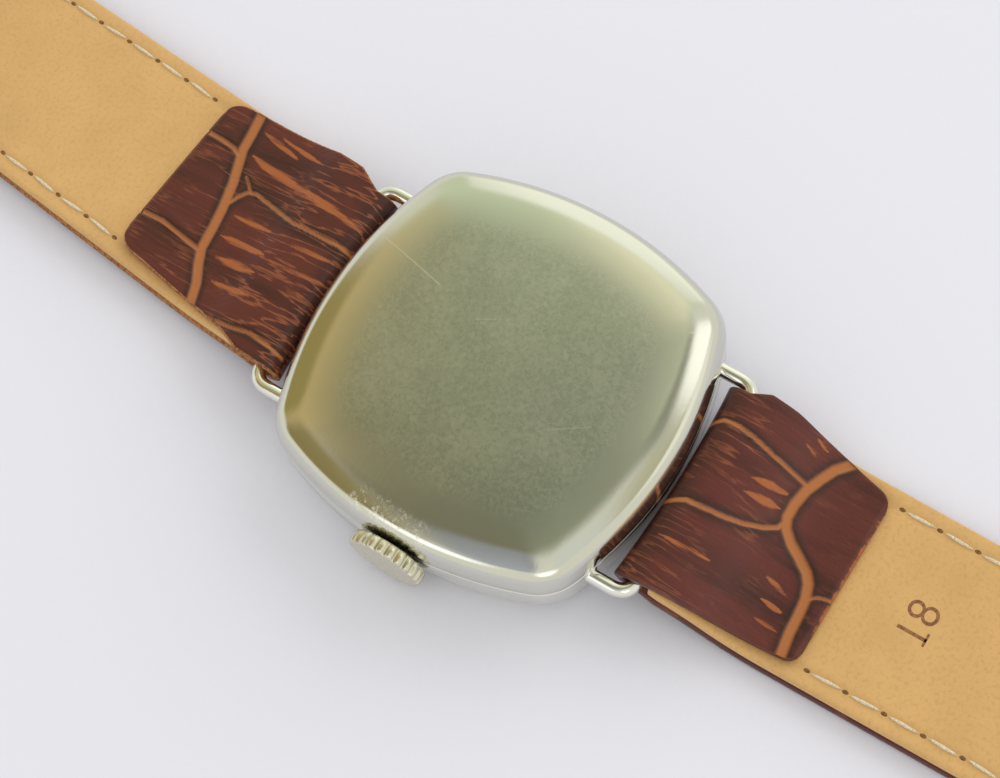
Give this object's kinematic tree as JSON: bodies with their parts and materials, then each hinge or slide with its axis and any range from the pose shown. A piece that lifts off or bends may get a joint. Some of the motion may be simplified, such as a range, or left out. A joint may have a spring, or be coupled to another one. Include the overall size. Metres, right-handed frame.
{
  "type": "wristwatch",
  "caption": "Cushion-shaped wristwatch lying dial down, with wire lugs, a ribbed crown, a hand-wound movement and a two-part scale-embossed leather strap with a buckle.",
  "frame": {"origin": "centre of the crystal's flat face, which lies on the floor plane", "axes": "+Z out of the case back, +Y towards twelve o'clock, the crown towards -X"},
  "size_m": [0.0369, 0.2368, 0.0081],
  "materials": {
    "case_steel": "polished, worn to a fine grain with small pits and scratches",
    "crystal": "clear, lightly bevelled",
    "dial": "aged cream lacquer",
    "hand_blue": "heat-blued, glossy",
    "plate_nickel": "nickel-plated, fine grained",
    "train_brass": "gilt, satin",
    "movement_steel": "fine ground",
    "blued_steel": "heat-blued",
    "ruby": "polished red synthetic ruby",
    "buckle_steel": "polished",
    "brown_leather": "glossy, scale-embossed, orange in the grooves",
    "tan_leather": "nubuck, stitched"
  },
  "bodies": {
    "case": {"case_band": "case_steel", "bezel": "case_steel", "crystal": "crystal", "crown_tube": "case_steel", "wire_lug_twelve": "case_steel", "wire_lug_six": "case_steel", "dial": "dial", "main_plate": "plate_nickel", "barrel_bridge": "plate_nickel", "train_bridge": "plate_nickel", "pallet_cock": "plate_nickel", "balance_cock": "plate_nickel", "click_spring": "movement_steel", "bearing_jewels": "ruby", "bridge_screws": "blued_steel", "crown_wheel_screw": "blued_steel"},
    "back": {"case_back": "case_steel"},
    "setting": {"setting_lever": "movement_steel"},
    "crown": {"crown": "case_steel", "winding_stem": "movement_steel"},
    "clutch": {"sliding_pinion": "movement_steel"},
    "winding_pinion": {"winding_pinion": "movement_steel"},
    "crown_wheel": {"crown_wheel": "movement_steel"},
    "ratchet": {"ratchet_wheel": "movement_steel", "barrel_arbor": "movement_steel", "ratchet_screw": "blued_steel"},
    "barrel": {"barrel_drum": "train_brass", "barrel_lid": "train_brass", "mainspring": "blued_steel"},
    "centre": {"centre_wheel": "train_brass", "centre_pinion": "movement_steel", "cannon_pinion": "movement_steel", "minute_hand": "hand_blue"},
    "third": {"third_wheel": "train_brass", "third_pinion": "movement_steel"},
    "fourth": {"fourth_wheel": "train_brass", "fourth_pinion": "movement_steel", "seconds_hand": "hand_blue"},
    "escape": {"escape_wheel": "train_brass", "escape_pinion": "movement_steel"},
    "minute_work": {"minute_wheel": "train_brass"},
    "hour": {"hour_wheel": "train_brass", "hour_hand": "hand_blue"},
    "lever": {"pallet_lever": "movement_steel", "pallet_stones": "ruby"},
    "balance": {"balance_wheel": "train_brass", "balance_staff": "movement_steel", "roller": "movement_steel", "hairspring": "blued_steel"},
    "regulator": {"regulator": "movement_steel"},
    "click": {"click": "movement_steel"},
    "strap_twelve": {"strap_twelve_outer": "brown_leather", "strap_twelve_lining": "tan_leather", "fixed_keeper": "brown_leather"},
    "strap_six": {"strap_six_outer": "brown_leather", "strap_six_lining": "tan_leather"},
    "buckle": {"buckle_frame": "buckle_steel", "buckle_bar": "buckle_steel"},
    "tongue": {"buckle_tongue": "buckle_steel"},
    "keeper": {"loose_keeper": "brown_leather"}
  },
  "joints": [
    {"name": "back_lift", "type": "slide", "parent": "case", "child": "back", "axis": [0, 0, 1], "range_m": [0, 0.015]},
    {"name": "crown_pull", "type": "slide", "parent": "case", "child": "setting", "axis": [-1, 0, 0], "range_m": [0, 0.0006]},
    {"name": "crown_turn", "type": "hinge", "parent": "setting", "child": "crown", "pos_m": [-0.01575, 0, 0.0036], "axis": [1, 0, 0], "continuous": true},
    {"name": "clutch_slide", "type": "slide", "parent": "crown", "child": "clutch", "axis": [1, 0, 0], "range_m": [0, 0.00115]},
    {"name": "winding_pinion_turn", "type": "hinge", "parent": "case", "child": "winding_pinion", "pos_m": [-0.0098, 0, 0.0036], "axis": [1, 0, 0], "continuous": true},
    {"name": "crown_wheel_turn", "type": "hinge", "parent": "case", "child": "crown_wheel", "pos_m": [-0.008, 0, 0.005], "axis": [0, 0, 1], "continuous": true},
    {"name": "ratchet_turn", "type": "hinge", "parent": "case", "child": "ratchet", "pos_m": [-0.00314, 0.00447, 0.0051], "axis": [0, 0, 1], "continuous": true},
    {"name": "escape_turn", "type": "hinge", "parent": "case", "child": "escape", "pos_m": [0.00319, -0.00685, 0.0045], "axis": [0, 0, 1], "continuous": true},
    {"name": "fourth_turn", "type": "hinge", "parent": "case", "child": "fourth", "pos_m": [0, -0.006, 0.0045], "axis": [0, 0, 1], "continuous": true},
    {"name": "third_turn", "type": "hinge", "parent": "case", "child": "third", "pos_m": [-0.00293, -0.00341, 0.0045], "axis": [0, 0, 1], "continuous": true},
    {"name": "centre_turn", "type": "hinge", "parent": "case", "child": "centre", "pos_m": [0, 0, 0.0045], "axis": [0, 0, 1], "continuous": true},
    {"name": "barrel_turn", "type": "hinge", "parent": "case", "child": "barrel", "pos_m": [-0.00314, 0.00447, 0.0035], "axis": [0, 0, 1], "continuous": true},
    {"name": "minute_work_turn", "type": "hinge", "parent": "case", "child": "minute_work", "pos_m": [0.00184, -0.00154, 0.0028], "axis": [0, 0, 1], "continuous": true},
    {"name": "hour_turn", "type": "hinge", "parent": "case", "child": "hour", "pos_m": [0, 0, 0.0025], "axis": [0, 0, 1], "continuous": true},
    {"name": "click_rock", "type": "hinge", "parent": "case", "child": "click", "pos_m": [0.0029, 0.007, 0.0051], "axis": [0, 0, 1], "range_deg": [0, 12], "stiffness_Nm_per_rad": 0.0001},
    {"name": "pallet_rock", "type": "hinge", "parent": "case", "child": "lever", "pos_m": [0.00453, -0.00456, 0.0044], "axis": [0, 0, 1], "range_deg": [-3, 3]},
    {"name": "balance_swing", "type": "hinge", "parent": "case", "child": "balance", "pos_m": [0.0062, -0.0017, 0.005], "axis": [0, 0, 1], "range_deg": [-270, 270], "stiffness_Nm_per_rad": 0.0000001},
    {"name": "regulator_turn", "type": "hinge", "parent": "case", "child": "regulator", "pos_m": [0.0062, -0.0017, 0.0064], "axis": [0, 0, 1], "range_deg": [-15, 15]},
    {"name": "strap_twelve_swing", "type": "hinge", "parent": "case", "child": "strap_twelve", "pos_m": [0, 0.0172, 0.0036], "axis": [1, 0, 0], "range_deg": [-30, 85]},
    {"name": "strap_six_swing", "type": "hinge", "parent": "case", "child": "strap_six", "pos_m": [0, -0.0172, 0.0036], "axis": [-1, 0, 0], "range_deg": [-30, 85]},
    {"name": "buckle_swing", "type": "hinge", "parent": "strap_twelve", "child": "buckle", "pos_m": [0.0085, 0.0922, 0.0021], "axis": [0.9945, -0.1051, 0], "range_deg": [-30, 100]},
    {"name": "tongue_swing", "type": "hinge", "parent": "buckle", "child": "tongue", "pos_m": [0.0085, 0.0922, 0.0021], "axis": [-0.9945, 0.1051, 0], "range_deg": [0, 75]},
    {"name": "keeper_slide", "type": "slide", "parent": "strap_twelve", "child": "keeper", "axis": [0.1051, 0.9945, 0], "range_m": [-0.012, 0.005]}
  ],
  "couplings": [
    {"joint": "clutch_slide", "follows": "crown_pull", "ratio": 1.9167},
    {"joint": "winding_pinion_turn", "follows": "crown_turn", "ratio": 1},
    {"joint": "crown_wheel_turn", "follows": "crown_turn", "ratio": 0.45},
    {"joint": "ratchet_turn", "follows": "crown_turn", "ratio": -0.19565},
    {"joint": "fourth_turn", "follows": "escape_turn", "ratio": -0.1},
    {"joint": "third_turn", "follows": "escape_turn", "ratio": 0.013333},
    {"joint": "centre_turn", "follows": "escape_turn", "ratio": -0.0016667},
    {"joint": "barrel_turn", "follows": "escape_turn", "ratio": 0.00027778},
    {"joint": "minute_work_turn", "follows": "escape_turn", "ratio": 0.00055556},
    {"joint": "hour_turn", "follows": "escape_turn", "ratio": -0.00013889}
  ]
}
